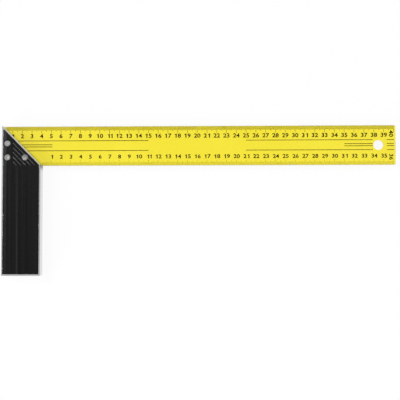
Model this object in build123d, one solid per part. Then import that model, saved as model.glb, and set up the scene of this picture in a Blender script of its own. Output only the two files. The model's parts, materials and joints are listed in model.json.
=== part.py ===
from build123d import *
import math
import os

# Carpenter square: a ruled steel blade riveted into the slot of a mitred stock.
# Sizes are in millimetres. The origin is the inner corner of the square, where the inner scale
# starts, on the plane that the stock lies on. +X runs along the blade, -Y down the stock, +Z up.

# Blade: a flat steel strip whose tang fills the slot right across the stock. Its outer scale starts
# at the outer side and ends at 400 mm, a little short of the free end
BLADE_LENGTH = 402.0
BLADE_WIDTH = 40.5
BLADE_THICKNESS = 1.5
BLADE_CORNER_RADIUS = 1.5
BLADE_EDGE_BREAK = 0.2

# Hanging hole, centred on the blade's width near its free end
HANG_HOLE_DIAMETER = 10.0
HANG_HOLE_FROM_END = 17.5

# Stock: an extruded bar, its length measured along the outer side of the square
STOCK_LENGTH = 153.0
STOCK_WIDTH = 40.0
STOCK_THICKNESS = 16.0
STOCK_EDGE_CHAMFER = 1.5
STOCK_CORNER_BREAK = 0.6
SLOT_CLEARANCE = 0.05

# The mitre follows the line from the square's outer corner to its inner corner, this far above it
MITRE_RISE = 1.0

# Sloping shoulder along the outer side of both wide faces, and the groove that runs beside it up to
# the joint
SHOULDER_WIDTH = 5.3
SHOULDER_DROP = 0.6
GROOVE_FROM_OUTER_SIDE = 16.7
GROOVE_WIDTH = 1.6
GROOVE_DEPTH = 0.35
GROOVE_BELOW_SLOT_FLOOR = 1.5

# Fine lines engraved over the joint on both wide faces, side by side with the mitre. Their distance
# from the mitre is measured down the stock
LINE_FROM_OUTER_SIDE = 12.0
FIRST_LINE_BELOW_MITRE = 6.3
LINE_PITCH = 4.85
LINE_WIDTH = 0.25
LINE_DEPTH = 0.12

# Rivets: solid shanks with countersunk heads closed flush into both wide faces
RIVET_SHANK_DIAMETER = 4.0
RIVET_HEAD_DIAMETER = 6.2
RIVET_HEAD_LAND = 0.6
RIVET_RIM_CHAMFER = 0.3
RIVET_RECESS = 0.05
RIVET_CLEARANCE = 0.05
DIMPLE_DIAMETER = 2.6
DIMPLE_DEPTH = 0.2

# Rivet places, from the edges of the joint that they hold together
RIVET_FROM_OUTER_SIDE = 6.2
RIVET_ABOVE_SLOT_FLOOR = 8.2
UPPER_RIVET_BELOW_MITRE = 12.8
INNER_RIVET_INSIDE_MITRE = 8.6

# Length by which a cutting shape runs past the face that it opens
OVERCUT = 2.0

OUTER_SIDE_X = -STOCK_WIDTH
FREE_END_X = OUTER_SIDE_X + BLADE_LENGTH
SQUARE_END_Y = BLADE_WIDTH - STOCK_LENGTH
MID_Z = STOCK_THICKNESS / 2


def mitre_y(x):
    """Y of the mitre at the given X."""
    return MITRE_RISE - x * BLADE_WIDTH / STOCK_WIDTH


def mitre_x(y):
    """X of the mitre at the given Y."""
    return (MITRE_RISE - y) * STOCK_WIDTH / BLADE_WIDTH


OUTER_RIVET_X = OUTER_SIDE_X + RIVET_FROM_OUTER_SIDE
RIVET_PLACES = {
    "rivet_outer_upper": (OUTER_RIVET_X, mitre_y(OUTER_RIVET_X) - UPPER_RIVET_BELOW_MITRE),
    "rivet_outer_lower": (OUTER_RIVET_X, RIVET_ABOVE_SLOT_FLOOR),
    "rivet_inner_lower": (
        mitre_x(RIVET_ABOVE_SLOT_FLOOR) - INNER_RIVET_INSIDE_MITRE,
        RIVET_ABOVE_SLOT_FLOOR,
    ),
}


def blade():
    """Steel strip with broken edges, its hanging hole and the holes for the rivet shanks."""
    strip = Pos(OUTER_SIDE_X, 0, MID_Z) * Box(
        BLADE_LENGTH,
        BLADE_WIDTH,
        BLADE_THICKNESS,
        align=(Align.MIN, Align.MIN, Align.CENTER),
    )
    free_end_corners = strip.edges().filter_by(Axis.Z).group_by(Axis.X)[-1]
    strip = fillet(free_end_corners, BLADE_CORNER_RADIUS)
    strip = chamfer(strip.faces().filter_by(Axis.Z).edges(), BLADE_EDGE_BREAK)
    hang_hole = Cylinder(HANG_HOLE_DIAMETER / 2, BLADE_THICKNESS + OVERCUT)
    strip -= Pos(FREE_END_X - HANG_HOLE_FROM_END, BLADE_WIDTH / 2, MID_Z) * hang_hole
    shank_hole = Cylinder(RIVET_SHANK_DIAMETER / 2 + RIVET_CLEARANCE, BLADE_THICKNESS + OVERCUT)
    for x, y in RIVET_PLACES.values():
        strip -= Pos(x, y, MID_Z) * shank_hole
    return strip


def along_both_faces(*section):
    """Cutting bars of one section that run down both wide faces of the stock. A section point is
    a distance from the outer side and a height above the face."""
    cutter = extrude(
        Plane.XZ * make_face(Polyline(*section, close=True)),
        STOCK_LENGTH + 2 * OVERCUT,
    )
    upper = Pos(OUTER_SIDE_X, BLADE_WIDTH + OVERCUT, STOCK_THICKNESS) * cutter
    return upper + mirror(upper, about=Plane.XY.offset(MID_Z))


def stock_bar():
    """Mitred bar with sloping shoulders, chamfered along the rims of both wide faces and broken at
    the two corners of its square end."""
    outline = Polyline(
        (OUTER_SIDE_X, mitre_y(OUTER_SIDE_X)),
        (OUTER_SIDE_X, SQUARE_END_Y),
        (0, SQUARE_END_Y),
        (0, mitre_y(0)),
        close=True,
    )
    bar = extrude(make_face(outline), STOCK_THICKNESS)
    fall = SHOULDER_DROP * (SHOULDER_WIDTH + OVERCUT) / SHOULDER_WIDTH
    bar -= along_both_faces(
        (SHOULDER_WIDTH, 0),
        (SHOULDER_WIDTH, OVERCUT),
        (-OVERCUT, OVERCUT),
        (-OVERCUT, -fall),
    )
    narrow_sides = bar.faces().filter_by(lambda side: abs(side.normal_at().Z) < 0.01)
    bar = chamfer(narrow_sides.edges().filter_by(Axis.Z, reverse=True), STOCK_EDGE_CHAMFER)
    return chamfer(bar.edges().filter_by(Axis.Z).group_by(Axis.Y)[0], STOCK_CORNER_BREAK)


def grooved(bar, start, end, width, depth):
    """Cuts a V-shaped groove from start to end into both wide faces of the stock."""
    run = Vector(*end) - Vector(*start)
    mouth = width / 2 * (depth + OVERCUT) / depth
    section = Polyline((0, -depth), (mouth, OVERCUT), (-mouth, OVERCUT), close=True)
    cutter = extrude(Plane.YZ * make_face(section), run.length)
    upper = Plane((*start, STOCK_THICKNESS), x_dir=run, z_dir=(0, 0, 1)) * cutter
    return bar - upper - mirror(upper, about=Plane.XY.offset(MID_Z))


def turned(*section):
    """Solid of revolution about Z, the same above and below the XY plane. A section point is a
    radius and a height, from the top of the axis round to the XY plane."""
    half = revolve(Plane.XZ * make_face(Polyline((0, 0), *section, close=True)), Axis.Z)
    return half + mirror(half, about=Plane.XY)


def rivet_hole():
    """Shank hole that opens into a countersink at both wide faces."""
    shank = RIVET_SHANK_DIAMETER / 2 + RIVET_CLEARANCE
    head = RIVET_HEAD_DIAMETER / 2 + RIVET_CLEARANCE
    land_bottom = MID_Z - RIVET_RECESS - RIVET_HEAD_LAND
    return turned(
        (0, MID_Z + OVERCUT),
        (head, MID_Z + OVERCUT),
        (head, land_bottom),
        (shank, land_bottom - (head - shank)),
        (shank, 0),
    )


def stock():
    """Bar ground flush with the blade's outer edge, with its grooves and engraved lines, the slot for
    the tang and the countersunk rivet holes."""
    tip = Box(
        STOCK_WIDTH,
        MITRE_RISE + OVERCUT,
        STOCK_THICKNESS + OVERCUT,
        align=(Align.CENTER, Align.MIN, Align.CENTER),
    )
    bar = stock_bar() - Pos(OUTER_SIDE_X, BLADE_WIDTH, MID_Z) * tip
    groove_x = OUTER_SIDE_X + GROOVE_FROM_OUTER_SIDE
    groove_start = (groove_x, SQUARE_END_Y - OVERCUT)
    groove_end = (groove_x, -GROOVE_BELOW_SLOT_FLOOR)
    bar = grooved(bar, groove_start, groove_end, GROOVE_WIDTH, GROOVE_DEPTH)
    line_x = OUTER_SIDE_X + LINE_FROM_OUTER_SIDE
    line_room = mitre_y(line_x) - FIRST_LINE_BELOW_MITRE
    for line in range(math.ceil(line_room / LINE_PITCH)):
        below_mitre = FIRST_LINE_BELOW_MITRE + line * LINE_PITCH
        line_start = (line_x, mitre_y(line_x) - below_mitre)
        line_end = (mitre_x(below_mitre), 0)
        bar = grooved(bar, line_start, line_end, LINE_WIDTH, LINE_DEPTH)
    slot = Box(
        STOCK_WIDTH + 2 * OVERCUT,
        BLADE_WIDTH + SLOT_CLEARANCE + OVERCUT,
        BLADE_THICKNESS + 2 * SLOT_CLEARANCE,
        align=(Align.MIN, Align.MIN, Align.CENTER),
    )
    bar -= Pos(OUTER_SIDE_X - OVERCUT, -SLOT_CLEARANCE, MID_Z) * slot
    for x, y in RIVET_PLACES.values():
        bar -= Pos(x, y, MID_Z) * rivet_hole()
    return bar


def rivet():
    """Closed rivet with a dimple in both heads, centred on its own mid-plane."""
    shank = RIVET_SHANK_DIAMETER / 2
    head = RIVET_HEAD_DIAMETER / 2
    top = MID_Z - RIVET_RECESS
    land_bottom = top - RIVET_HEAD_LAND
    return turned(
        (0, top - DIMPLE_DEPTH),
        (DIMPLE_DIAMETER / 2, top),
        (head - RIVET_RIM_CHAMFER, top),
        (head, top - RIVET_RIM_CHAMFER),
        (head, land_bottom),
        (shank, land_bottom - (head - shank)),
        (shank, 0),
    )


nodes = {"blade": blade(), "stock": stock()}
for name, (x, y) in RIVET_PLACES.items():
    nodes[name] = Pos(x, y, MID_Z) * rivet()

os.makedirs("parts", exist_ok=True)
for name, solid in nodes.items():
    export_step(solid, f"parts/{name}.step")
    print(name, "volume", round(solid.volume, 1), "mm3")
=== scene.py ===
# %% [markdown]
# # Carpenter square
# A carpenter square is a ruled steel blade riveted at a right angle into a thick stock. The stock is
# held against the edge of a board, and the blade then shows a line square to that edge. The
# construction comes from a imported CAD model. This lesson loads it as a fixed frame and gives it its
# looks: lacquer and print on the blade, a black coating with bare cut edges on the stock, and bright
# rivets.

# %% Load the frame
import json
import math

import bmesh
import bpy
from mathutils import Matrix, Vector

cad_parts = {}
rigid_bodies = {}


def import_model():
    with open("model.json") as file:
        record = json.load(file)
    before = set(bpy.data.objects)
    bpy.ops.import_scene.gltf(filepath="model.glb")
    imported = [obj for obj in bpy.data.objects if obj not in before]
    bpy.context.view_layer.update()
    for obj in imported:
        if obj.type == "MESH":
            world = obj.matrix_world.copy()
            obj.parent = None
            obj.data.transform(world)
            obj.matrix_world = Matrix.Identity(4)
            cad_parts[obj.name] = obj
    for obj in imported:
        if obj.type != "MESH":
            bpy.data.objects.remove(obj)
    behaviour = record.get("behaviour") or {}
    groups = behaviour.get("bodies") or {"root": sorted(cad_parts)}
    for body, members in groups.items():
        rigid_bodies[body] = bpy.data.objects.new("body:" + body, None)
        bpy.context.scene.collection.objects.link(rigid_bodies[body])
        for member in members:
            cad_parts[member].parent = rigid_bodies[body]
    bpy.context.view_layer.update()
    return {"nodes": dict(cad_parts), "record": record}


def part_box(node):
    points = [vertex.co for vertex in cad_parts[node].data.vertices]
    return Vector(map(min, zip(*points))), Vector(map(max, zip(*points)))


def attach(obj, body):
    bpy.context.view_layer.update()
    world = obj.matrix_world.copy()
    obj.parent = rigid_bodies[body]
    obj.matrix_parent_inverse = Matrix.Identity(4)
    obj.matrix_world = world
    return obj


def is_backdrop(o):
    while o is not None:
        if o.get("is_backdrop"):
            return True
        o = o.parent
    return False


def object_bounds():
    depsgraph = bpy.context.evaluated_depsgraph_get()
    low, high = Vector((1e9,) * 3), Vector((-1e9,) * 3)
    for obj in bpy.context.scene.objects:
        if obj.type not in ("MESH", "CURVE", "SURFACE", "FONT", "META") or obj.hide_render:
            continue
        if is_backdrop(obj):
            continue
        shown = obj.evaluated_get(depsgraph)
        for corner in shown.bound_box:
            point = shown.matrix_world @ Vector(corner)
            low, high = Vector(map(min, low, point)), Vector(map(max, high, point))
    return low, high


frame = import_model()
print("CAD nodes:", ", ".join(sorted(frame["nodes"])))

# %% [markdown]
# ## Sizes
# Blender works in metres in the CAD's own frame. The origin is the inner corner of the square, +X runs
# along the blade, -Y runs down the stock, and +Z points up out of the ruled face. What the frame knows
# is read from it, so the print still fits the blade if the CAD changes. The stock ends in a mitre, a
# slanting cut that follows the line from the outer corner down to the inner corner. No other part of
# the stock reaches as far in the direction that the mitre faces.

# %% Sizes from the frame
MM = 0.001
blade_low, blade_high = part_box("blade")
stock_low, stock_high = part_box("stock")
mounts = {mount["name"]: mount for mount in frame["record"]["mounts"]}
hole_x = mounts["hang_hole"]["pos_m"][0]
stock_corners = [corner.co for corner in frame["nodes"]["stock"].data.vertices]
mitre_normal = Vector((blade_high.y - blade_low.y, stock_high.x - stock_low.x, 0)).normalized()
mitre_reach = max(mitre_normal.dot(corner) for corner in stock_corners)


def mitre_x(y):
    """X of the stock's mitre at the given Y."""
    return (mitre_reach - mitre_normal.y * y) / mitre_normal.x


print("blade in mm:", [round(size / MM, 2) for size in blade_high - blade_low])
print("stock in mm:", [round(size / MM, 2) for size in stock_high - stock_low])
print("hanging hole from the free end in mm:", round((blade_high.x - hole_x) / MM, 2))
print("mitre at the blade's lower edge in mm:", round(mitre_x(blade_low.y) / MM, 2))

# %% [markdown]
# ## Camera
# The square lies flat and is seen from above, from about a metre away. A long lens keeps its right
# angle square in the picture. The camera stands over the middle of the blade, a little towards the
# stock's end, so it looks slightly onto the stock's inner side.

# %% Camera
IMAGE_SIDE_PIXELS = 400
FOCAL_LENGTH_PIXELS = 980.9
SENSOR_WIDTH_MM = 36.0
CAMERA_PLACE_MM = Vector((191.1, -79.5, 1008.8))
CAMERA_TURN_DEGREES = (2.519, 1.622, -0.052)

scene = bpy.context.scene
scene.view_settings.view_transform = "Standard"
camera = bpy.data.objects.new("camera", bpy.data.cameras.new("camera"))
camera.data.sensor_width = SENSOR_WIDTH_MM
camera.data.lens = FOCAL_LENGTH_PIXELS * SENSOR_WIDTH_MM / IMAGE_SIDE_PIXELS
camera.location = CAMERA_PLACE_MM * MM
camera.rotation_euler = [math.radians(turn) for turn in CAMERA_TURN_DEGREES]
scene.collection.objects.link(camera)
scene.camera = camera
print("lens in mm:", round(camera.data.lens, 1))

# %% [markdown]
# ## Helpers for colours and nodes
# Colours are written as sRGB hex values, the way a paint chart or an image editor gives them. Shaders
# work in linear light, so one function turns them. Another adds a node to a tree: its settings are
# keyword arguments, and its inputs come in a dict, where an output of another node becomes a link and
# anything else a plain value. To turn one range of values into another takes five such inputs, so a
# third function writes them out.


# %% Colour and node helpers
def linear(colour):
    """Turns an sRGB hex colour into linear RGBA, by the formula of the sRGB standard."""
    shares = [int(colour[start : start + 2], 16) / 255 for start in (1, 3, 5)]
    lit = [share / 12.92 if share <= 0.04045 else ((share + 0.055) / 1.055) ** 2.4 for share in shares]
    return lit + [1]


def add(tree, kind, inputs=None, **settings):
    """Adds one node to a tree, with its settings and with its inputs linked or set."""
    node = tree.nodes.new(kind)
    for setting, value in settings.items():
        setattr(node, setting, value)
    for socket, source in (inputs or {}).items():
        if isinstance(source, bpy.types.NodeSocket):
            tree.links.new(source, node.inputs[socket])
        else:
            node.inputs[socket].default_value = source
    return node


def spread(value, taken, given):
    """Inputs of a Map Range node that turns one range of a value into another."""
    return {
        "Value": value,
        "From Min": taken[0],
        "From Max": taken[1],
        "To Min": given[0],
        "To Max": given[1],
    }


print("mid grey #808080 in linear light:", [round(share, 3) for share in linear("#808080")])

# %% [markdown]
# ## Room
# The light is that of a small studio: a room that is light near the horizon and dark overhead, where
# the camera stands, with large soft lamps. Metal shows what is around it, so the dark ceiling keeps the
# bare edges from burning out and the black coating deep. The camera itself sees the room as plain
# white, which adds no light to the square.

# %% Room
WHITE = "#FFFFFF"
HORIZON_LEVEL = 0.55
CEILING_LEVEL = 0.12
LIGHT_UP_TO_HEIGHT = 0.3

room = bpy.data.worlds.new("room")
room.use_nodes = True
tree = room.node_tree
tree.nodes.clear()
direction = add(tree, "ShaderNodeTexCoord").outputs["Generated"]
height = add(tree, "ShaderNodeSeparateXYZ", {0: direction}).outputs["Z"]
level = add(
    tree,
    "ShaderNodeMapRange",
    spread(height, (LIGHT_UP_TO_HEIGHT, 1), (HORIZON_LEVEL, CEILING_LEVEL)),
).outputs["Result"]
is_seen = add(tree, "ShaderNodeLightPath").outputs["Is Camera Ray"]
shown = add(tree, "ShaderNodeMath", {0: level, 1: is_seen}, operation="MAXIMUM").outputs["Value"]
light = add(tree, "ShaderNodeBackground", {"Color": linear(WHITE), "Strength": shown})
add(tree, "ShaderNodeOutputWorld", {"Surface": light.outputs["Background"]})
scene.world = room
print("light of the room from horizon to ceiling:", HORIZON_LEVEL, "to", CEILING_LEVEL)

# %% [markdown]
# ## Lamps
# Three area lamps face the square. They are large, so they shade it softly. The key lamp stands up and
# to the left, so the stock's sloping shoulder catches it near the mitre. The fill lamp stands to the
# right and keeps the blade's far end as light as the rest. The low lamp shines over the stock, which
# stands higher than the blade and shades it a little along the mitre.

# %% Lamps
AIM_MM = Vector((120, 0, 8))


def soft_lamp(name, place_mm, side_mm, watts):
    """Adds a square area lamp that faces a point on the blade."""
    lamp = bpy.data.objects.new(name, bpy.data.lights.new(name, "AREA"))
    lamp.data.size = side_mm * MM
    lamp.data.energy = watts
    lamp.location = Vector(place_mm) * MM
    lamp.rotation_euler = (AIM_MM - Vector(place_mm)).to_track_quat("-Z", "Y").to_euler()
    scene.collection.objects.link(lamp)
    return lamp


lamps = [
    soft_lamp("key_lamp", place_mm=(-1580, 1060, 2280), side_mm=1400, watts=42.0),
    soft_lamp("fill_lamp", place_mm=(950, -350, 1100), side_mm=1600, watts=9.6),
    soft_lamp("low_lamp", place_mm=(-1600, -1200, 700), side_mm=1250, watts=22.0),
]
print("lamps in watts:", [round(lamp.data.energy, 1) for lamp in lamps])

# %% [markdown]
# ## Floor
# The square lies on a sheet of white paper that fills the picture. To the camera, and in reflections,
# most of the paper's white is given by an emission of strength 1, which is exactly white, and the rest
# is the lit paper, which keeps a faint shadow of the square. To all other rays it is plain paper, so it
# adds no light of its own to the scene.

# %% Floor
FLOOR_HALF_SIDE = 15.0
PAPER_COLOUR = "#FBFBFB"
PURE_WHITE_SHARE = 0.9

corners = [(-1, -1), (1, -1), (1, 1), (-1, 1)]
sheet = bpy.data.meshes.new("floor")
sheet.from_pydata(
    [(x * FLOOR_HALF_SIDE, y * FLOOR_HALF_SIDE, stock_low.z) for x, y in corners],
    [],
    [range(len(corners))],
)
floor = bpy.data.objects.new("floor", sheet)
scene.collection.objects.link(floor)

paper = bpy.data.materials.new("white_paper")
paper.use_nodes = True
tree = paper.node_tree
tree.nodes.clear()
ray = add(tree, "ShaderNodeLightPath").outputs
is_seen = ray["Is Camera Ray"]
for sort in ("Is Glossy Ray", "Is Transmission Ray"):
    is_seen = add(
        tree, "ShaderNodeMath", {0: is_seen, 1: ray[sort]}, operation="MAXIMUM"
    ).outputs["Value"]
white_share = add(
    tree, "ShaderNodeMath", {0: is_seen, 1: PURE_WHITE_SHARE}, operation="MULTIPLY"
).outputs["Value"]
lit_paper = add(tree, "ShaderNodeBsdfDiffuse", {"Color": linear(PAPER_COLOUR)}).outputs["BSDF"]
pure_white = add(
    tree, "ShaderNodeEmission", {"Color": linear(WHITE), "Strength": 1}
).outputs["Emission"]
blend = add(tree, "ShaderNodeMixShader", {0: white_share, 1: lit_paper, 2: pure_white})
add(tree, "ShaderNodeOutputMaterial", {"Surface": blend.outputs["Shader"]})
sheet.materials.append(paper)
floor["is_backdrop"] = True
print("floor at z in mm:", round(stock_low.z / MM, 3))

# %% [markdown]
# ## Yellow lacquer on the blade
# The blade is a hardened steel strip, sprayed with yellow lacquer and baked. Its long edges are ground
# straight after that, so they are bare steel, and the lacquer is nibbled away a little beside them. One
# Principled shader serves both: a mask says where the steel is bare, and it turns the shader from
# lacquer to metal. The mask comes from the face's own direction, because only the two broad faces are
# lacquered, and from the distance to the nearest edge, roughened with noise.

# %% Where the blade is bare
BROAD_FACE_UPRIGHT = 0.9
NIBBLE_MM = 2.5
NIBBLE_NOISE = (0.45, 0.8)
NIBBLE_REACH = 0.9 * MM


def per(size_mm):
    """Texture scale at which a pattern repeats about every size_mm millimetres."""
    return 1 / (size_mm * MM)


def uprightness(tree, normal):
    """How upright a direction is, from 0 for level to 1 for straight up or down."""
    upward = add(tree, "ShaderNodeSeparateXYZ", {0: normal}).outputs["Z"]
    return add(tree, "ShaderNodeMath", {0: upward}, operation="ABSOLUTE").outputs["Value"]


def bare_steel(tree, where):
    """Mask of the steel that shows: the ground edges, and beside them where lacquer is nibbled off."""
    normal = add(tree, "ShaderNodeNewGeometry").outputs["True Normal"]
    upright = uprightness(tree, normal)
    is_edge = add(
        tree, "ShaderNodeMath", {0: upright, 1: BROAD_FACE_UPRIGHT}, operation="LESS_THAN"
    ).outputs["Value"]
    # The lower edge has a Y of nought, so to and fro over half the width is the way to the nearer edge
    place = add(tree, "ShaderNodeSeparateXYZ", {0: where}).outputs
    half_width = (blade_high.y - blade_low.y) / 2
    from_edge = add(
        tree, "ShaderNodeMath", {0: place["Y"], 1: half_width}, operation="PINGPONG"
    ).outputs["Value"]
    from_end = add(
        tree, "ShaderNodeMath", {0: blade_high.x, 1: place["X"]}, operation="SUBTRACT"
    ).outputs["Value"]
    rim = add(tree, "ShaderNodeMath", {0: from_edge, 1: from_end}, operation="MINIMUM").outputs["Value"]
    nibbles = add(
        tree, "ShaderNodeTexNoise", {"Vector": where, "Scale": per(NIBBLE_MM), "Detail": 4}
    ).outputs["Fac"]
    reach = add(
        tree, "ShaderNodeMapRange", spread(nibbles, NIBBLE_NOISE, (0, NIBBLE_REACH))
    ).outputs["Result"]
    worn = add(tree, "ShaderNodeMath", {0: rim, 1: reach}, operation="LESS_THAN").outputs["Value"]
    return add(tree, "ShaderNodeMath", {0: is_edge, 1: worn}, operation="MAXIMUM").outputs["Value"]


print("lacquer nibbled off up to this far from an edge, in mm:", round(NIBBLE_REACH / MM, 2))

# %% [markdown]
# The lacquer itself is an even yellow. Sprayed paint lies in faint clouds, which handling dulls, and it
# dries to a fine orange peel. Noise of two sizes gives both: the coarse one tints the colour, the fine
# one makes a low relief, and the gloss follows the two together.

# %% Yellow lacquer
LACQUER_COLOURS = ("#F1DF26", "#F8E830")
LACQUER_ROUGHNESS = (0.34, 0.48)
CLOUD_MM = 55
PEEL_MM = 1.6
PEEL_DEPTH = 0.05 * MM
PEEL_STRENGTH = 0.25
BARE_STEEL_COLOUR = "#D4D3CE"
# Noise seldom leaves this range
NOISE_RANGE = (0.3, 0.7)
# Sockets of the Mix node when it mixes colours
MIX_FACTOR = 0
MIX_A = 6
MIX_B = 7
MIX_RESULT = 2


def new_finish(name):
    """Starts a material and gives its tree, its Object coordinates and its shader."""
    material = bpy.data.materials.new(name)
    material.use_nodes = True
    tree = material.node_tree
    tree.nodes.clear()
    where = add(tree, "ShaderNodeTexCoord").outputs["Object"]
    shader = add(tree, "ShaderNodeBsdfPrincipled")
    add(tree, "ShaderNodeOutputMaterial", {"Surface": shader.outputs["BSDF"]})
    return material, tree, where, shader


def feed(tree, shader, sources):
    """Links the patterns of a finish to the inputs of its shader."""
    for socket, source in sources.items():
        tree.links.new(source, shader.inputs[socket])


def dress(name, finish):
    """Gives a CAD node its finish."""
    slots = frame["nodes"][name].data.materials
    slots.clear()
    slots.append(finish)
    print(name, "finish:", finish.name)


def baked_yellow_lacquer():
    """Satin paint: an even, warm yellow with a soft gloss and the faint orange peel of sprayed paint.
    The ground edges give the eye a thin light line of steel."""
    material, tree, where, shader = new_finish("baked_yellow_lacquer")
    bare = bare_steel(tree, where)
    clouds = add(
        tree, "ShaderNodeTexNoise", {"Vector": where, "Scale": per(CLOUD_MM), "Detail": 2}
    ).outputs["Fac"]
    deep, pale = [linear(colour) for colour in LACQUER_COLOURS]
    yellow = add(
        tree, "ShaderNodeMix", {MIX_FACTOR: clouds, MIX_A: deep, MIX_B: pale}, data_type="RGBA"
    ).outputs[MIX_RESULT]
    colour = add(
        tree,
        "ShaderNodeMix",
        {MIX_FACTOR: bare, MIX_A: yellow, MIX_B: linear(BARE_STEEL_COLOUR)},
        data_type="RGBA",
    ).outputs[MIX_RESULT]
    # Orange peel is finer than half a millimetre on the real blade, and is drawn coarser to show
    peel = add(
        tree, "ShaderNodeTexNoise", {"Vector": where, "Scale": per(PEEL_MM), "Detail": 3}
    ).outputs["Fac"]
    # Handling dulls the lacquer in clouds, so the gloss follows both patterns
    both = add(tree, "ShaderNodeMath", {0: peel, 1: clouds}, operation="ADD").outputs["Value"]
    average = add(tree, "ShaderNodeMath", {0: both, 1: 2}, operation="DIVIDE").outputs["Value"]
    gloss = add(
        tree, "ShaderNodeMapRange", spread(average, NOISE_RANGE, LACQUER_ROUGHNESS)
    ).outputs["Result"]
    relief = add(
        tree, "ShaderNodeBump", {"Height": peel, "Strength": PEEL_STRENGTH, "Distance": PEEL_DEPTH}
    ).outputs["Normal"]
    sources = {"Base Color": colour, "Metallic": bare, "Roughness": gloss, "Normal": relief}
    feed(tree, shader, sources)
    return material


dress("blade", baked_yellow_lacquer())

# %% [markdown]
# ## Black coating on the stock
# The stock is an aluminium extrusion, coated black and then cut, so its sides, ends and chamfers are
# bare metal. So are the lines engraved over the joint, which are cut through the coat. Here the mask is
# the distance to the outline of the stock, seen from above: closer than the chamfer's width, the metal
# is bare. A little noise frays that line, and a second noise knocks a few chips out of the coat beside
# it. The coat reaches further onto the chamfers at the inner side and at the mitre, as it does where a
# bar wasn't quite level under the cutter. The engraved lines are found by their slope: no other face
# inside the outline leans that way.

# %% Where the stock is bare
BARE_EDGE = 1.5 * MM
INNER_COAT_GAIN = 0.45 * MM
MITRE_COAT_GAIN = 0.4 * MM
FRAY_MM = 3
FRAY_NOISE = (0.35, 0.7)
FRAY_REACH = 0.2 * MM
CHIP_MM = 2
CHIP_NOISE = (0.66, 0.8)
CHIP_REACH = 2.5 * MM
ENGRAVED_LEAN = 0.6
ENGRAVED_INSIDE = 2.5 * MM


def outline_distance(tree, where):
    """How far inside the stock's outline a point lies, seen from above. A side counts as further away
    by what the coat gains on it."""
    place = add(tree, "ShaderNodeSeparateXYZ", {0: where}).outputs
    towards_mitre = add(
        tree, "ShaderNodeVectorMath", {0: where, 1: mitre_normal}, operation="DOT_PRODUCT"
    ).outputs["Value"]
    distances = [
        add(tree, "ShaderNodeMath", {0: far, 1: near}, operation="SUBTRACT").outputs["Value"]
        for far, near in (
            (place["X"], stock_low.x),
            (stock_high.x + INNER_COAT_GAIN, place["X"]),
            (place["Y"], stock_low.y),
            (mitre_reach + MITRE_COAT_GAIN, towards_mitre),
        )
    ]
    rim = distances[0]
    for distance in distances[1:]:
        rim = add(tree, "ShaderNodeMath", {0: rim, 1: distance}, operation="MINIMUM").outputs["Value"]
    return rim


def bare_aluminium(tree, where, normal):
    """Masks of the metal that shows, and of the mitre with its chamfers."""
    rim = outline_distance(tree, where)
    fray = add(
        tree, "ShaderNodeTexNoise", {"Vector": where, "Scale": per(FRAY_MM), "Detail": 4}
    ).outputs["Fac"]
    edge = add(
        tree, "ShaderNodeMapRange", spread(fray, FRAY_NOISE, (BARE_EDGE, BARE_EDGE + FRAY_REACH))
    ).outputs["Result"]
    knocks = add(
        tree, "ShaderNodeTexNoise", {"Vector": where, "Scale": per(CHIP_MM), "Detail": 2}
    ).outputs["Fac"]
    chips = add(
        tree, "ShaderNodeMapRange", spread(knocks, CHIP_NOISE, (0, CHIP_REACH))
    ).outputs["Result"]
    reach = add(tree, "ShaderNodeMath", {0: edge, 1: chips}, operation="ADD").outputs["Value"]
    is_rim = add(tree, "ShaderNodeMath", {0: rim, 1: reach}, operation="LESS_THAN").outputs["Value"]
    lean = add(
        tree, "ShaderNodeVectorMath", {0: normal, 1: mitre_normal}, operation="DOT_PRODUCT"
    ).outputs["Value"]
    either_way = add(tree, "ShaderNodeMath", {0: lean}, operation="ABSOLUTE").outputs["Value"]
    leans = add(
        tree, "ShaderNodeMath", {0: either_way, 1: ENGRAVED_LEAN}, operation="GREATER_THAN"
    ).outputs["Value"]
    is_inside = add(
        tree, "ShaderNodeMath", {0: rim, 1: ENGRAVED_INSIDE}, operation="GREATER_THAN"
    ).outputs["Value"]
    engraved = add(
        tree, "ShaderNodeMath", {0: leans, 1: is_inside}, operation="MULTIPLY"
    ).outputs["Value"]
    bare = add(tree, "ShaderNodeMath", {0: is_rim, 1: engraved}, operation="MAXIMUM").outputs["Value"]
    # What leans like the engraved lines but lies at the rim is the mitre and its chamfers
    is_mitre = add(
        tree, "ShaderNodeMath", {0: leans, 1: engraved}, operation="SUBTRACT"
    ).outputs["Value"]
    return bare, is_mitre


print("bare edge of the stock in mm:", round(BARE_EDGE / MM, 2))

# %% [markdown]
# The inner side below the blade is darkened with painted shade, where the blade shades it. It is
# darkest right at the blade's edge and thins out down the stock, so its mask is a smooth fall with the
# distance from that edge, kept to the inner side.

# %% Painted shade in the inner corner
# Painted shade: the stock's inner side is darkened where the blade shades it
PAINTED_SHADE_COVER = 0.62
PAINTED_SHADE_REACH = 6 * MM
INNER_SIDE_DEPTH = 0.3 * MM


def inner_corner_painted_shade(tree, where):
    """How much of the stock's inner side the painted shade covers."""
    place = add(tree, "ShaderNodeSeparateXYZ", {0: where}).outputs
    is_inner_side = add(
        tree,
        "ShaderNodeMath",
        {0: place["X"], 1: stock_high.x - INNER_SIDE_DEPTH},
        operation="GREATER_THAN",
    ).outputs["Value"]
    past_blade = add(
        tree, "ShaderNodeMath", {0: place["Y"], 1: blade_low.y}, operation="SUBTRACT"
    ).outputs["Value"]
    from_blade = add(tree, "ShaderNodeMath", {0: past_blade}, operation="ABSOLUTE").outputs["Value"]
    shade_fall = add(
        tree,
        "ShaderNodeMapRange",
        spread(from_blade, (0, PAINTED_SHADE_REACH), (PAINTED_SHADE_COVER, 0)),
        interpolation_type="SMOOTHSTEP",
    ).outputs["Result"]
    return add(
        tree, "ShaderNodeMath", {0: shade_fall, 1: is_inner_side}, operation="MULTIPLY"
    ).outputs["Value"]


print("grime reaches down the stock, in mm:", round(PAINTED_SHADE_REACH / MM, 2))
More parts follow.
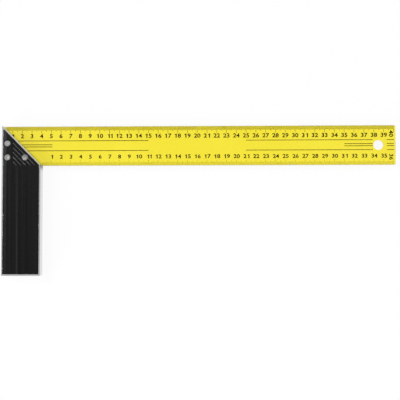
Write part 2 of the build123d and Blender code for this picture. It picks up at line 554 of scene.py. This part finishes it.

# %% [markdown]
# The coat has a satin look, with the faint lengthwise lines that the extrusion die leaves. The metal
# shows the fine lines of the cutter, and takes a lighter colour on the sides and at the mitre than
# elsewhere. The colour is mixed from coat to metal by the mask, and from there to the painted shade.

# %% Colours of coat, metal and painted shade
COAT_COLOURS = ("#080808", "#181818")
DULL_METAL_COLOURS = ("#AEAFB0", "#C6C7C7")
BRIGHT_METAL_COLOURS = ("#D6D7D8", "#EEEFEF")
SIDE_FACE_UPRIGHT = 0.3
# Colour of the painted shade below the blade
PAINTED_SHADE_COLOUR = "#38332B"


def stock_colour(tree, normal, cutter, die_lines, bare, is_mitre, painted_shade):
    """Colour of the stock, from the direction of its faces, its two sorts of lines and its masks."""
    dull, bright, coat = [
        add(
            tree,
            "ShaderNodeMix",
            {MIX_FACTOR: lines, MIX_A: linear(colours[0]), MIX_B: linear(colours[1])},
            data_type="RGBA",
        ).outputs[MIX_RESULT]
        for lines, colours in (
            (cutter, DULL_METAL_COLOURS),
            (cutter, BRIGHT_METAL_COLOURS),
            (die_lines, COAT_COLOURS),
        )
    ]
    is_side = add(
        tree,
        "ShaderNodeMath",
        {0: uprightness(tree, normal), 1: SIDE_FACE_UPRIGHT},
        operation="LESS_THAN",
    ).outputs["Value"]
    # The sides and the mitre take the lighter metal colour, picked by the face's direction
    is_side_or_mitre = add(
        tree, "ShaderNodeMath", {0: is_side, 1: is_mitre}, operation="MAXIMUM"
    ).outputs["Value"]
    metal = add(
        tree, "ShaderNodeMix", {MIX_FACTOR: is_side_or_mitre, MIX_A: dull, MIX_B: bright}, data_type="RGBA"
    ).outputs[MIX_RESULT]
    unshaded = add(
        tree, "ShaderNodeMix", {MIX_FACTOR: bare, MIX_A: coat, MIX_B: metal}, data_type="RGBA"
    ).outputs[MIX_RESULT]
    # Last, the painted shade darkens the inner side below the blade
    return add(
        tree,
        "ShaderNodeMix",
        {MIX_FACTOR: painted_shade, MIX_A: unshaded, MIX_B: linear(PAINTED_SHADE_COLOUR)},
        data_type="RGBA",
    ).outputs[MIX_RESULT]


print("colours of the coat:", *COAT_COLOURS)

# %% [markdown]
# Both sorts of lines are noise that is drawn out along one way. They make a low relief as well, and on
# bare metal the gloss follows them. On the coat it follows a fine grain, and the painted shade is dull.

# %% Black coating with bare edges
COAT_ROUGHNESS = (0.26, 0.34)
COAT_SPECULAR = 0.22
COAT_GRAIN_MM = 0.9
METAL_ROUGHNESS = (0.29, 0.39)
# Roughness where the painted shade lies
PAINTED_SHADE_ROUGHNESS = 0.7
# Sizes along X, Y and Z. The cutter's lines run round the stock, and the die's lines run down it.
# Die lines are a few tenths of a millimetre apart, and are drawn coarser to show
CUTTER_LINES_MM = (30, 30, 0.5)
DIE_LINES_MM = (1.5, 250, 1.5)
RELIEF_DEPTH = 0.05 * MM
RELIEF_STRENGTH = 0.3
# Sockets of the Mix node when it mixes plain numbers
MIX_FLOAT_A = 2
MIX_FLOAT_B = 3
MIX_FLOAT_RESULT = 0


def drawn_out_lines(tree, where, sizes_mm, detail):
    """Noise of these sizes along X, Y and Z, which looks like lines along the longest."""
    scale = [per(size_mm) for size_mm in sizes_mm]
    drawn_out = add(tree, "ShaderNodeMapping", {"Vector": where, "Scale": scale}).outputs["Vector"]
    return add(
        tree, "ShaderNodeTexNoise", {"Vector": drawn_out, "Scale": 1, "Detail": detail}
    ).outputs["Fac"]


def black_coated_aluminium():
    """Satin black coat that swallows most of the light, and bright streaky metal where it is cut."""
    material, tree, where, shader = new_finish("black_coated_aluminium")
    normal = add(tree, "ShaderNodeNewGeometry").outputs["True Normal"]
    bare, is_mitre = bare_aluminium(tree, where, normal)
    # Painted shade on the inner side below the blade
    painted_shade = inner_corner_painted_shade(tree, where)
    cutter = drawn_out_lines(tree, where, CUTTER_LINES_MM, detail=3)
    die_noise = drawn_out_lines(tree, where, DIE_LINES_MM, detail=2)
    die_lines = add(
        tree, "ShaderNodeMapRange", spread(die_noise, NOISE_RANGE, (0, 1))
    ).outputs["Result"]
    colour = stock_colour(tree, normal, cutter, die_lines, bare, is_mitre, painted_shade)
    metallic = add(tree, "ShaderNodeMath", {0: bare, 1: painted_shade}, operation="SUBTRACT").outputs["Value"]
    grain = add(
        tree, "ShaderNodeTexNoise", {"Vector": where, "Scale": per(COAT_GRAIN_MM), "Detail": 3}
    ).outputs["Fac"]
    coat_height = add(
        tree, "ShaderNodeMath", {0: grain, 1: die_lines}, operation="ADD"
    ).outputs["Value"]
    height = add(
        tree, "ShaderNodeMix", {MIX_FACTOR: bare, MIX_FLOAT_A: coat_height, MIX_FLOAT_B: cutter}
    ).outputs[MIX_FLOAT_RESULT]
    relief = add(
        tree,
        "ShaderNodeBump",
        {"Height": height, "Strength": RELIEF_STRENGTH, "Distance": RELIEF_DEPTH},
    ).outputs["Normal"]
    coat_dullness, metal_dullness = [
        add(tree, "ShaderNodeMapRange", spread(pattern, NOISE_RANGE, roughness)).outputs["Result"]
        for pattern, roughness in ((grain, COAT_ROUGHNESS), (cutter, METAL_ROUGHNESS))
    ]
    unshaded_dullness = add(
        tree,
        "ShaderNodeMix",
        {MIX_FACTOR: bare, MIX_FLOAT_A: coat_dullness, MIX_FLOAT_B: metal_dullness},
    ).outputs[MIX_FLOAT_RESULT]
    dullness = add(
        tree,
        "ShaderNodeMix",
        {MIX_FACTOR: painted_shade, MIX_FLOAT_A: unshaded_dullness, MIX_FLOAT_B: PAINTED_SHADE_ROUGHNESS},
    ).outputs[MIX_FLOAT_RESULT]
    sources = {"Base Color": colour, "Metallic": metallic, "Roughness": dullness, "Normal": relief}
    feed(tree, shader, sources)
    shader.inputs["Specular IOR Level"].default_value = COAT_SPECULAR
    return material


dress("stock", black_coated_aluminium())

# %% [markdown]
# ## Rivets
# Three solid aluminium rivets go through both cheeks of the stock and the blade's tang, and a riveting
# tool closes their heads flush. The tool spins as it presses, so each head shows faint rings round its
# dimple, and the bare metal tarnishes unevenly with time. The rings are a wave pattern about the
# rivet's own axis. A Mapping node moves the pattern's centre there, which takes one material for each
# rivet, made by one function. The tarnish is plain noise.

# %% Rivet heads
RIVET_COLOURS = ("#7F7F7D", "#B7B7B5")
RIVET_ROUGHNESS = (0.42, 0.54)
TARNISH_MM = 8
RING_MM = 0.8
RING_DEPTH = 0.04 * MM
RING_STRENGTH = 0.25
RING_WOBBLE = 0.6
# A wave texture of scale one turns through 20 radians in one unit
WAVES_PER_UNIT = 20 / math.tau


def spun_aluminium(name, axis):
    """Bare light metal with fine rings, which scatter the light into a soft sheen."""
    material, tree, where, shader = new_finish(name)
    centred = add(
        tree, "ShaderNodeMapping", {"Vector": where, "Location": (-axis.x, -axis.y, 0)}
    ).outputs["Vector"]
    # The rings are about 0.2 mm apart, and are drawn coarser to show
    rings = add(
        tree,
        "ShaderNodeTexWave",
        {
            "Vector": centred,
            "Scale": per(RING_MM) / WAVES_PER_UNIT,
            "Distortion": RING_WOBBLE,
            "Detail": 1,
        },
        wave_type="RINGS",
        rings_direction="Z",
    ).outputs["Fac"]
    # The tarnish is wider than a head, so each rivet has its own tone, lighter towards one side
    tarnish = add(
        tree, "ShaderNodeTexNoise", {"Vector": where, "Scale": per(TARNISH_MM), "Detail": 5}
    ).outputs["Fac"]
    tone = add(tree, "ShaderNodeMapRange", spread(tarnish, NOISE_RANGE, (0, 1))).outputs["Result"]
    dark, light = [linear(colour) for colour in RIVET_COLOURS]
    colour = add(
        tree, "ShaderNodeMix", {MIX_FACTOR: tone, MIX_A: dark, MIX_B: light}, data_type="RGBA"
    ).outputs[MIX_RESULT]
    sheen = add(
        tree, "ShaderNodeMapRange", spread(tarnish, NOISE_RANGE, RIVET_ROUGHNESS)
    ).outputs["Result"]
    relief = add(
        tree, "ShaderNodeBump", {"Height": rings, "Strength": RING_STRENGTH, "Distance": RING_DEPTH}
    ).outputs["Normal"]
    feed(tree, shader, {"Base Color": colour, "Roughness": sheen, "Normal": relief})
    shader.inputs["Metallic"].default_value = 1
    return material


for name in ("rivet_outer_upper", "rivet_outer_lower", "rivet_inner_lower"):
    low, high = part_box(name)
    axis = (low + high) / 2
    dress(name, spun_aluminium("spun_aluminium_" + name, axis))
    print(name, "axis in mm:", [round(place / MM, 2) for place in axis.xy])

# %% [markdown]
# ## Ink
# The scale is screen printed: a thin film of dull black ink on the lacquer. On the model it is real
# geometry, a film a few hundredths of a millimetre thick, because print that is only a pattern in a
# material would be lost with the material. The ink is a warm black, slightly uneven where the screen
# laid it thin.

# %% Ink
INK_COLOURS = ("#201400", "#342300")
INK_ROUGHNESS = (0.5, 0.62)
INK_SPECULAR = 0.12
INK_MOTTLE_MM = 1.5
INK_RELIEF_DEPTH = 0.02 * MM
INK_RELIEF_STRENGTH = 0.15
INK_THICKNESS = 0.03 * MM


def printed_ink():
    """Flat black print, a little brown where it is thin."""
    material, tree, where, shader = new_finish("screen_printed_ink")
    film = add(
        tree, "ShaderNodeTexNoise", {"Vector": where, "Scale": per(INK_MOTTLE_MM), "Detail": 3}
    ).outputs["Fac"]
    thick, thin = [linear(colour) for colour in INK_COLOURS]
    colour = add(
        tree, "ShaderNodeMix", {MIX_FACTOR: film, MIX_A: thick, MIX_B: thin}, data_type="RGBA"
    ).outputs[MIX_RESULT]
    dullness = add(
        tree, "ShaderNodeMapRange", spread(film, NOISE_RANGE, INK_ROUGHNESS)
    ).outputs["Result"]
    relief = add(
        tree,
        "ShaderNodeBump",
        {"Height": film, "Strength": INK_RELIEF_STRENGTH, "Distance": INK_RELIEF_DEPTH},
    ).outputs["Normal"]
    feed(tree, shader, {"Base Color": colour, "Roughness": dullness, "Normal": relief})
    shader.inputs["Specular IOR Level"].default_value = INK_SPECULAR
    return material


ink = printed_ink()
print("ink film in mm:", round(INK_THICKNESS / MM, 3))

# %% [markdown]
# ## Ticks
# Each scale has a tick at every millimetre, a longer one at every half centimetre and the longest at
# every centimetre. Hundreds of alike ticks are what Geometry Nodes are for: a line of points, one a
# millimetre, and a flat bar on each. The numbers will stand on such a line too, so what both trees have
# in common comes first: named inputs for the sizes, the line of points, and an end that makes one inked
# mesh of all that stands on them.


# %% Start, points and end of a scale's tree
def new_tree(name, inputs):
    """Starts a geometry node tree with these named inputs and gives it and the inputs' sockets."""
    tree = bpy.data.node_groups.new(name, "GeometryNodeTree")
    for label, kind in inputs.items():
        tree.interface.new_socket(label, in_out="INPUT", socket_type=kind)
    tree.interface.new_socket("Geometry", in_out="OUTPUT", socket_type="NodeSocketGeometry")
    return tree, add(tree, "NodeGroupInput").outputs


def scale_points(tree, given):
    """Adds the points of a scale to a tree, from its first number to its last, and their numbers."""
    steps = add(
        tree, "ShaderNodeMath", {0: given["last"], 1: given["first"]}, operation="SUBTRACT"
    ).outputs["Value"]
    count = add(tree, "ShaderNodeMath", {0: steps, 1: 1}, operation="ADD").outputs["Value"]
    lead = add(
        tree, "ShaderNodeMath", {0: given["first"], 1: given["pitch"]}, operation="MULTIPLY"
    ).outputs["Value"]
    lead_along = add(tree, "ShaderNodeCombineXYZ", {"X": lead}).outputs["Vector"]
    start = add(
        tree, "ShaderNodeVectorMath", {0: given["zero"], 1: lead_along}, operation="ADD"
    ).outputs["Vector"]
    step_along = add(tree, "ShaderNodeCombineXYZ", {"X": given["pitch"]}).outputs["Vector"]
    points = add(
        tree,
        "GeometryNodeMeshLine",
        {"Count": count, "Start Location": start, "Offset": step_along},
    ).outputs["Mesh"]
    index = add(tree, "GeometryNodeInputIndex").outputs["Index"]
    number = add(
        tree, "ShaderNodeMath", {0: index, 1: given["first"]}, operation="ADD"
    ).outputs["Value"]
    return points, number


def end_tree(tree, instances, given):
    """Turns a tree's instances into one inked mesh and gives it out."""
    mesh = add(tree, "GeometryNodeRealizeInstances", {"Geometry": instances}).outputs["Geometry"]
    inked = add(
        tree, "GeometryNodeSetMaterial", {"Geometry": mesh, "Material": given["material"]}
    ).outputs["Geometry"]
    add(tree, "NodeGroupOutput", {"Geometry": inked})


SCALE_INPUTS = {
    "first": "NodeSocketInt",
    "last": "NodeSocketInt",
    "pitch": "NodeSocketFloat",
    "zero": "NodeSocketVector",
    "face": "NodeSocketInt",
    "material": "NodeSocketMaterial",
}
print("inputs of every scale:", ", ".join(SCALE_INPUTS))

# %% [markdown]
# The tick tree stretches the bar on each point to its length by a rule on the point's number: the bar
# is short, unless five divides the number, and it is longest where ten does. The sizes are inputs, so
# the same tree rules both edges of both faces.

# %% Node tree that rules a scale
MILLIMETRES_PER_CENTIMETRE = 10
# The numbers of a scale are whole, so half of one tells two of them apart
HALF_OF_ONE = 0.5


def tick_tree():
    """Tree that rules one scale. Its ticks start at the zero's line and point along Y by way."""
    tree, given = new_tree(
        "ruled_ticks",
        SCALE_INPUTS
        | {
            "way": "NodeSocketInt",
            "width": "NodeSocketFloat",
            "thickness": "NodeSocketFloat",
            "short": "NodeSocketFloat",
            "half": "NodeSocketFloat",
            "long": "NodeSocketFloat",
        },
    )
    points, number = scale_points(tree, given)
    length = given["short"]
    for every, longer in (
        (MILLIMETRES_PER_CENTIMETRE // 2, given["half"]),
        (MILLIMETRES_PER_CENTIMETRE, given["long"]),
    ):
        left_over = add(
            tree, "ShaderNodeMath", {0: number, 1: every}, operation="FLOORED_MODULO"
        ).outputs["Value"]
        plain = add(
            tree, "ShaderNodeMath", {0: left_over, 1: HALF_OF_ONE}, operation="GREATER_THAN"
        ).outputs["Value"]
        length = add(
            tree,
            "GeometryNodeSwitch",
            {"Switch": plain, "False": longer, "True": length},
            input_type="FLOAT",
        ).outputs["Output"]
    size = add(
        tree, "ShaderNodeCombineXYZ", {"X": given["width"], "Y": length, "Z": given["thickness"]}
    ).outputs["Vector"]
    half_way, half_up = [
        add(tree, "ShaderNodeMath", {0: given[label], 1: 2}, operation="DIVIDE").outputs["Value"]
        for label in ("way", "face")
    ]
    hang = add(tree, "ShaderNodeCombineXYZ", {"Y": half_way, "Z": half_up}).outputs["Vector"]
    bar = add(tree, "GeometryNodeMeshCube").outputs["Mesh"]
    hung_bar = add(
        tree, "GeometryNodeTransform", {"Geometry": bar, "Translation": hang}
    ).outputs["Geometry"]
    ticks = add(
        tree, "GeometryNodeInstanceOnPoints", {"Points": points, "Instance": hung_bar, "Scale": size}
    ).outputs["Instances"]
    end_tree(tree, ticks, given)
    return tree


ruling = tick_tree()
print("nodes in the tick tree:", len(ruling.nodes))

# %% [markdown]
# The outer scale starts at the stock's outer side and runs along the upper edge. The inner scale starts
# at the stock's inner side and runs along the lower edge, with finer and shorter ticks. Ticks that
# would lie under the stock are left out. The tree runs once for each scale of each face, and what it
# makes is kept as a plain mesh, which no longer depends on the tree.

# %% Ticks on both edges of both faces
UPPER_FACE = 1
LOWER_FACE = -1
FACE_NAMES = {UPPER_FACE: "front", LOWER_FACE: "back"}
FACE_HEIGHTS = {UPPER_FACE: blade_high.z, LOWER_FACE: blade_low.z}
TICK_INSET = 0.3 * MM
CENTIMETRE = MILLIMETRES_PER_CENTIMETRE * MM
outer_end = int((blade_high.x - stock_low.x) / CENTIMETRE) * MILLIMETRES_PER_CENTIMETRE
inner_end = int((blade_high.x - stock_high.x) / CENTIMETRE) * MILLIMETRES_PER_CENTIMETRE
TICKS = {
    "outer": {
        "zero": (stock_low.x, blade_high.y - TICK_INSET),
        "way": -1,
        "first": 4,
        "last": outer_end,
        "width": 0.34 * MM,
        "short": 3.8 * MM,
        "half": 4.8 * MM,
        "long": 6.8 * MM,
    },
    "inner": {
        "zero": (stock_high.x, blade_low.y + TICK_INSET),
        "way": 1,
        "first": 1,
        "last": inner_end,
        "width": 0.18 * MM,
        "short": 3.2 * MM,
        "half": 4.1 * MM,
        "long": 5.3 * MM,
    },
}


def run_tree(tree, name, sizes):
    """Runs a tree once and keeps what it makes as the plain mesh of a new piece."""
    piece = bpy.data.objects.new(name, bpy.data.meshes.new(name))
    scene.collection.objects.link(piece)
    modifier = piece.modifiers.new(tree.name, "NODES")
    modifier.node_group = tree
    sockets = {item.name: item.identifier for item in tree.interface.items_tree}
    for label, value in sizes.items():
        modifier[sockets[label]] = value
    evaluated = piece.evaluated_get(bpy.context.evaluated_depsgraph_get())
    piece.data = bpy.data.meshes.new_from_object(evaluated)
    piece.modifiers.remove(modifier)
    print(name, "faces:", len(piece.data.polygons))
    return piece


print_pieces = []
for face, height in FACE_HEIGHTS.items():
    for scale, sizes in TICKS.items():
        alike = {"pitch": MM, "thickness": INK_THICKNESS, "face": face, "material": ink}
        on_face = {"zero": (*sizes["zero"], height)}
        name = f"{scale}_ticks_{FACE_NAMES[face]}"
        print_pieces.append(run_tree(ruling, name, sizes | alike | on_face))

# %% [markdown]
# ## Digits
# Every number on the scales is made of the ten digits, so each digit is cut once. Blender's own font
# gives their outlines, made a little bolder, and all but the figure one look right on a ruler: the
# font's one is a bare bar, so it is drawn here with its flag. Each digit becomes a thin closed film,
# centred on its own middle, with a height of one.

# %% Ten digits
FONT_CAP_HEIGHT = 0.682
FONT_DIGIT_STEP = 0.5
FONT_BOLDNESS = 0.025
FONT_CURVE_STEPS = 3
# Points of an outline closer than this are one point
SAME_POINT = 0.0005
FIGURE_ONE = [
    (0.35, -0.03),
    (0.35, 0.71),
    (0.24, 0.71),
    (0.19, 0.61),
    (0.05, 0.575),
    (0.05, 0.465),
    (0.19, 0.465),
    (0.19, -0.03),
]


def font_digit(digit):
    """Flat outline mesh of a digit of the built-in font."""
    curve = bpy.data.curves.new("digit", "FONT")
    curve.body = digit
    curve.offset = FONT_BOLDNESS
    curve.resolution_u = FONT_CURVE_STEPS
    text = bpy.data.objects.new("digit", curve)
    scene.collection.objects.link(text)
    evaluated = text.evaluated_get(bpy.context.evaluated_depsgraph_get())
    mesh = bpy.data.meshes.new_from_object(evaluated)
    bpy.data.objects.remove(text)
    return mesh


def drawn_one():
    """Flat outline mesh of the figure one."""
    mesh = bpy.data.meshes.new("digit")
    mesh.from_pydata([(x, y, 0) for x, y in FIGURE_ONE], [], [range(len(FIGURE_ONE))])
    return mesh


def film_of(mesh):
    """Makes a flat digit a closed film on the XY plane, centred, of height one and of the ink's
    thickness before it is sized."""
    form = bmesh.new()
    form.from_mesh(mesh)
    bmesh.ops.remove_doubles(form, verts=form.verts, dist=SAME_POINT)
    middle = Vector((FONT_DIGIT_STEP / 2, FONT_CAP_HEIGHT / 2, 0))
    bmesh.ops.translate(form, verts=form.verts, vec=-middle)
    bmesh.ops.scale(form, verts=form.verts, vec=Vector((1, 1, 1)) / FONT_CAP_HEIGHT)
    raised = bmesh.ops.extrude_face_region(form, geom=form.faces[:], use_keep_orig=True)
    top = [part for part in raised["geom"] if isinstance(part, bmesh.types.BMVert)]
    bmesh.ops.translate(form, verts=top, vec=(0, 0, 1))
    bmesh.ops.recalc_face_normals(form, faces=form.faces)
    form.to_mesh(mesh)
    form.free()
    return mesh


digit_set = bpy.data.collections.new("digits")
for digit in "0123456789":
    flat = drawn_one() if digit == "1" else font_digit(digit)
    digit_set.objects.link(bpy.data.objects.new("digit_" + digit, film_of(flat)))

# %% [markdown]
# ## Numbers
# A second tree sets the numbers. It puts a point at every centimetre, works out the tens and the units
# of its number, and picks those two digits from the set. A number below ten has only units, set on the
# tick, and a longer number has its digits side by side about the tick. The figure one is narrow, so a
# typesetter moves it: at the end of a number it stands further right, and the two ones of eleven are
# closed up. At the blade's end there is no room left, so the last number of each scale is turned to
# read downwards.


# %% Node tree that sets the numbers
def digit_rules(tree, number):
    """Tens and units of a number, and tests of whether it has tens, ends in one and is eleven."""
    tenth = add(tree, "ShaderNodeMath", {0: number, 1: 10}, operation="DIVIDE").outputs["Value"]
    tens = add(tree, "ShaderNodeMath", {0: tenth}, operation="FLOOR").outputs["Value"]
    units = add(tree, "ShaderNodeMath", {0: number, 1: 10}, operation="FLOORED_MODULO").outputs["Value"]
    is_long = add(
        tree, "ShaderNodeMath", {0: tens, 1: HALF_OF_ONE}, operation="GREATER_THAN"
    ).outputs["Value"]
    ends_in_one, is_eleven = [
        add(
            tree, "ShaderNodeMath", {0: value, 1: sought, 2: HALF_OF_ONE}, operation="COMPARE"
        ).outputs["Value"]
        for value, sought in ((units, 1), (number, 11))
    ]
    return tens, units, is_long, ends_in_one, is_eleven


def number_tree():
    """Tree that numbers one scale. Turn is the angle of the numbers about the face's own upright."""
    tree, given = new_tree(
        "set_numbers",
        SCALE_INPUTS
        | {
            "width": "NodeSocketFloat",
            "height": "NodeSocketFloat",
            "thickness": "NodeSocketFloat",
            "digit_step": "NodeSocketFloat",
            "last_one_aside": "NodeSocketFloat",
            "first_one_aside": "NodeSocketFloat",
            "turn": "NodeSocketFloat",
            "digits": "NodeSocketCollection",
        },
    )
    points, number = scale_points(tree, given)
    digits = add(
        tree,
        "GeometryNodeCollectionInfo",
        {"Collection": given["digits"], "Separate Children": True, "Reset Children": True},
    ).outputs["Instances"]
    tens, units, is_long, ends_in_one, is_eleven = digit_rules(tree, number)
    turn = add(
        tree, "ShaderNodeMath", {0: given["turn"], 1: given["face"]}, operation="MULTIPLY"
    ).outputs["Value"]
    flip = add(
        tree, "ShaderNodeMapRange", spread(given["face"], (LOWER_FACE, UPPER_FACE), (math.pi, 0))
    ).outputs["Result"]
    attitude = add(tree, "ShaderNodeCombineXYZ", {"X": flip, "Z": turn}).outputs["Vector"]
    size = add(
        tree,
        "ShaderNodeCombineXYZ",
        {"X": given["width"], "Y": given["height"], "Z": given["thickness"]},
    ).outputs["Vector"]
    both = add(tree, "GeometryNodeJoinGeometry")
    # In a long number the units stand half a step right of the tick, and the tens half a step left
    for picked, shown, share, is_one, one_aside in (
        (units, None, 0.5, ends_in_one, given["last_one_aside"]),
        (tens, is_long, -0.5, is_eleven, given["first_one_aside"]),
    ):
        aside = add(
            tree, "ShaderNodeMath", {0: given["digit_step"], 1: share}, operation="MULTIPLY"
        ).outputs["Value"]
        if_long = add(
            tree, "ShaderNodeMath", {0: aside, 1: is_long}, operation="MULTIPLY"
        ).outputs["Value"]
        moved = add(
            tree, "ShaderNodeMath", {0: is_one, 1: one_aside, 2: if_long}, operation="MULTIPLY_ADD"
        ).outputs["Value"]
        straight = add(tree, "ShaderNodeCombineXYZ", {"X": moved}).outputs["Vector"]
        shift = add(
            tree,
            "ShaderNodeVectorRotate",
            {"Vector": straight, "Angle": turn},
            rotation_type="Z_AXIS",
        ).outputs["Vector"]
        shifted = add(tree, "GeometryNodeSetPosition", {"Geometry": points, "Offset": shift})
        placed = add(
            tree,
            "GeometryNodeInstanceOnPoints",
            {
                "Points": shifted.outputs["Geometry"],
                "Instance": digits,
                "Pick Instance": True,
                "Instance Index": picked,
                "Rotation": attitude,
                "Scale": size,
            },
        )
        if shown:
            tree.links.new(shown, placed.inputs["Selection"])
        tree.links.new(placed.outputs["Instances"], both.inputs["Geometry"])
    end_tree(tree, both.outputs["Geometry"], given)
    return tree


numbering = number_tree()
print("nodes in the number tree:", len(numbering.nodes))

# %% [markdown]
# The numbers stand below the ticks of the outer scale and above those of the inner scale, and the outer
# ones are a little taller. The tree runs twice for each scale of each face: once for the row, and once
# for the turned number at its end. The digits that it picked from are then no longer needed.

# %% Numbers on both scales of both faces
OUTER_NUMBERS_BELOW_EDGE = 9.9 * MM
INNER_NUMBERS_ABOVE_EDGE = 9.3 * MM
OUTER_END_NUMBER_BELOW_EDGE = 8.6 * MM
INNER_END_NUMBER_ABOVE_EDGE = 8.2 * MM
END_NUMBER_FROM_END = 4.5 * MM
NUMBER_HEIGHTS = {"outer": 4.0 * MM, "inner": 3.75 * MM}
NUMBER_WIDENING = 1.16
DIGIT_STEP = FONT_DIGIT_STEP / FONT_CAP_HEIGHT
ONE_ASIDE = 0.8 * MM
ELEVEN_CLOSED_UP = 0.5 * MM
# The inner numbers stand a little to the right of their ticks
INNER_NUMBERS_ASIDE = 0.4 * MM
DOWNWARDS = -math.pi / 2

number_lines = {
    "outer": (stock_low.x, blade_high.y - OUTER_NUMBERS_BELOW_EDGE),
    "inner": (stock_high.x + INNER_NUMBERS_ASIDE, blade_low.y + INNER_NUMBERS_ABOVE_EDGE),
}
end_number_heights = {
    "outer": blade_high.y - OUTER_END_NUMBER_BELOW_EDGE,
    "inner": blade_low.y + INNER_END_NUMBER_ABOVE_EDGE,
}
for face, height in FACE_HEIGHTS.items():
    for scale, digit_height in NUMBER_HEIGHTS.items():
        alike = {
            "pitch": CENTIMETRE,
            "face": face,
            "width": digit_height * NUMBER_WIDENING,
            "height": digit_height,
            "thickness": INK_THICKNESS,
            "digit_step": digit_height * NUMBER_WIDENING * DIGIT_STEP,
            "last_one_aside": ONE_ASIDE,
            "first_one_aside": ONE_ASIDE + ELEVEN_CLOSED_UP,
            "digits": digit_set,
            "material": ink,
        }
        last = TICKS[scale]["last"] // MILLIMETRES_PER_CENTIMETRE
        row = {"first": 1, "last": last - 1, "turn": 0.0, "zero": (*number_lines[scale], height)}
        end_zero_x = blade_high.x - END_NUMBER_FROM_END - last * CENTIMETRE
        end = {
            "first": last,
            "last": last,
            "turn": DOWNWARDS,
            "zero": (end_zero_x, end_number_heights[scale], height),
        }
        name = f"{scale}_numbers_{FACE_NAMES[face]}"
        print_pieces.append(run_tree(numbering, name, alike | row))
        print_pieces.append(run_tree(numbering, name + "_end", alike | end))
for digit in list(digit_set.objects):
    bpy.data.objects.remove(digit)
bpy.data.collections.remove(digit_set)

# %% [markdown]
# ## Border lines
# Four fine lines run along the middle of the blade. The outer pair comes out of the mitre, stops at 15
# centimetres, starts again at 25 and runs to the blade's end. The inner pair is short, next to the
# mitre and next to the hanging hole. All of them leave a gap for the hole. Each stretch is one thin bar
# of ink, made by one function.

# %% Border lines
LINE_WIDTH = 0.6 * MM
LINES_CENTRE_BELOW_EDGE = 19.9 * MM
OUTER_PAIR_APART = 10.2 * MM
INNER_PAIR_APART = 2.2 * MM
MITRE_GAP = 0.2 * MM
HOLE_GAP = 5.6 * MM
AFTER_HOLE_GAP = 8.6 * MM
LINE_END_GAP = 1.6 * MM
OUTER_PAIR_STOPS_AT_CM = 15
OUTER_PAIR_RESUMES_AT_CM = 25
INNER_PAIR_STOPS_AT_CM = 5.1
INNER_PAIR_RESUMES_AT_CM = 35


def on_outer_scale(centimetres):
    """X of a reading on the outer scale."""
    return stock_low.x + centimetres * CENTIMETRE


def line_stretches(y, stops_at, resumes_at):
    """Start and end of each stretch of a line at the given Y."""
    return [
        (mitre_x(y) + MITRE_GAP, on_outer_scale(stops_at)),
        (on_outer_scale(resumes_at), hole_x - HOLE_GAP),
        (hole_x + AFTER_HOLE_GAP, blade_high.x - LINE_END_GAP),
    ]


def ink_bars(name, bars, face):
    """Thin bars of ink on a face, each given by its start and end along X and its Y."""
    form = bmesh.new()
    for start, end, y in bars:
        middle = Vector(((start + end) / 2, y, FACE_HEIGHTS[face] + face * INK_THICKNESS / 2))
        size = Vector((end - start, LINE_WIDTH, INK_THICKNESS))
        bmesh.ops.create_cube(form, size=1, matrix=Matrix.LocRotScale(middle, None, size))
    mesh = bpy.data.meshes.new(name)
    form.to_mesh(mesh)
    form.free()
    mesh.materials.append(ink)
    piece = bpy.data.objects.new(name, mesh)
    scene.collection.objects.link(piece)
    return piece


line_pairs = (
    (OUTER_PAIR_APART, OUTER_PAIR_STOPS_AT_CM, OUTER_PAIR_RESUMES_AT_CM),
    (INNER_PAIR_APART, INNER_PAIR_STOPS_AT_CM, INNER_PAIR_RESUMES_AT_CM),
)
bars = []
for apart, stops_at, resumes_at in line_pairs:
    for share in (-0.5, 0.5):
        y = blade_high.y - LINES_CENTRE_BELOW_EDGE + share * apart
        bars += [(start, end, y) for start, end in line_stretches(y, stops_at, resumes_at)]
for face in FACE_HEIGHTS:
    print_pieces.append(ink_bars(f"border_lines_{FACE_NAMES[face]}", bars, face))
print("border line stretches on a face:", len(bars))

# %% [markdown]
# ## Finish
# All the print rides on the one rigid body. The dressed model's box is measured, and it should agree
# with the CAD box, because the film of ink lies lower than the stock's wide faces.

# %% Ride and measure
for piece in print_pieces:
    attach(piece, "root")

low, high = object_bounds()
print("pieces of print:", len(print_pieces))
